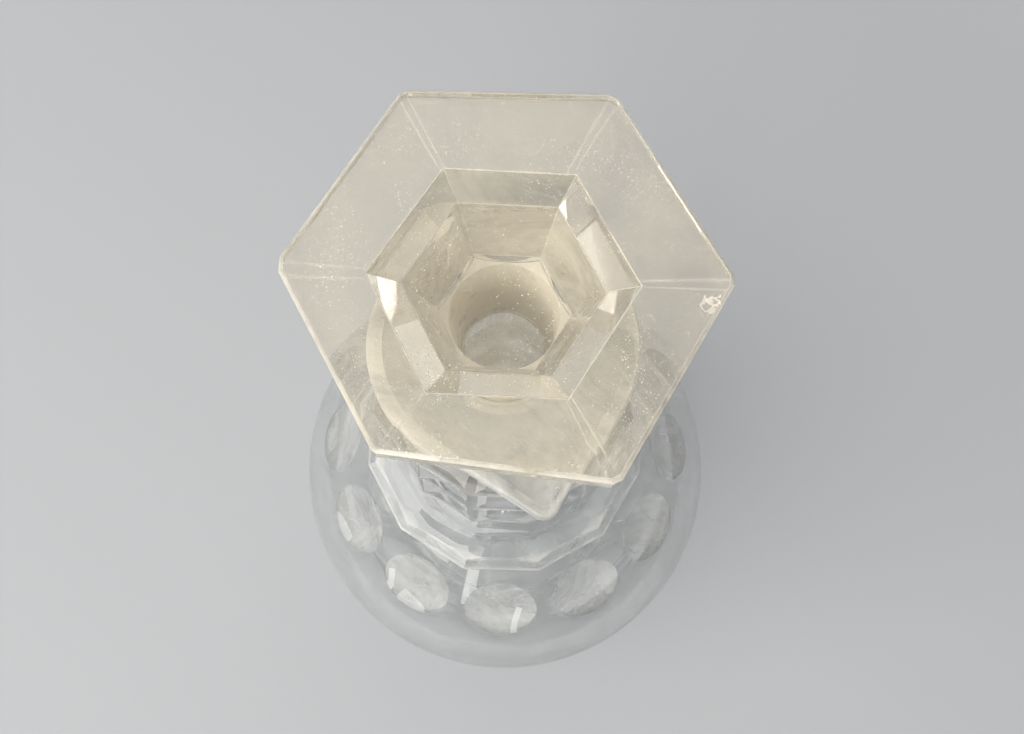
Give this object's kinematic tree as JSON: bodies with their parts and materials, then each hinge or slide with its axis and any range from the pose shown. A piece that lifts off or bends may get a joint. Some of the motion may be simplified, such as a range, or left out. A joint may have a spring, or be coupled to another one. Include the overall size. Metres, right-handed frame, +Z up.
{
  "type": "cut-glass decanter with stopper",
  "caption": "Clear cut-glass decanter with applied neck rings, a pouring lip and a flat six-sided stopper on a ground taper peg.",
  "frame": {"origin": "middle of the base, on the surface that the decanter stands on", "axes": "+Z up along the neck; the pouring lip points along -Y"},
  "size_m": [0.112, 0.112, 0.25],
  "materials": {
    "clear_cut_glass": "clear lead glass, cut and polished, lightly worn",
    "stopper_glass": "clear lead glass with a dusty flat table, worn corners and a ground frosted peg"
  },
  "bodies": {
    "decanter": {"decanter_vessel": "clear_cut_glass", "neck_ring_lower": "clear_cut_glass", "neck_ring_middle": "clear_cut_glass", "neck_ring_upper": "clear_cut_glass"},
    "stopper": {"stopper": "stopper_glass"}
  },
  "joints": [
    {"name": "stopper_lift", "type": "slide", "parent": "decanter", "child": "stopper", "axis": [0, 0, 1], "range_m": [0, 0.06]}
  ]
}
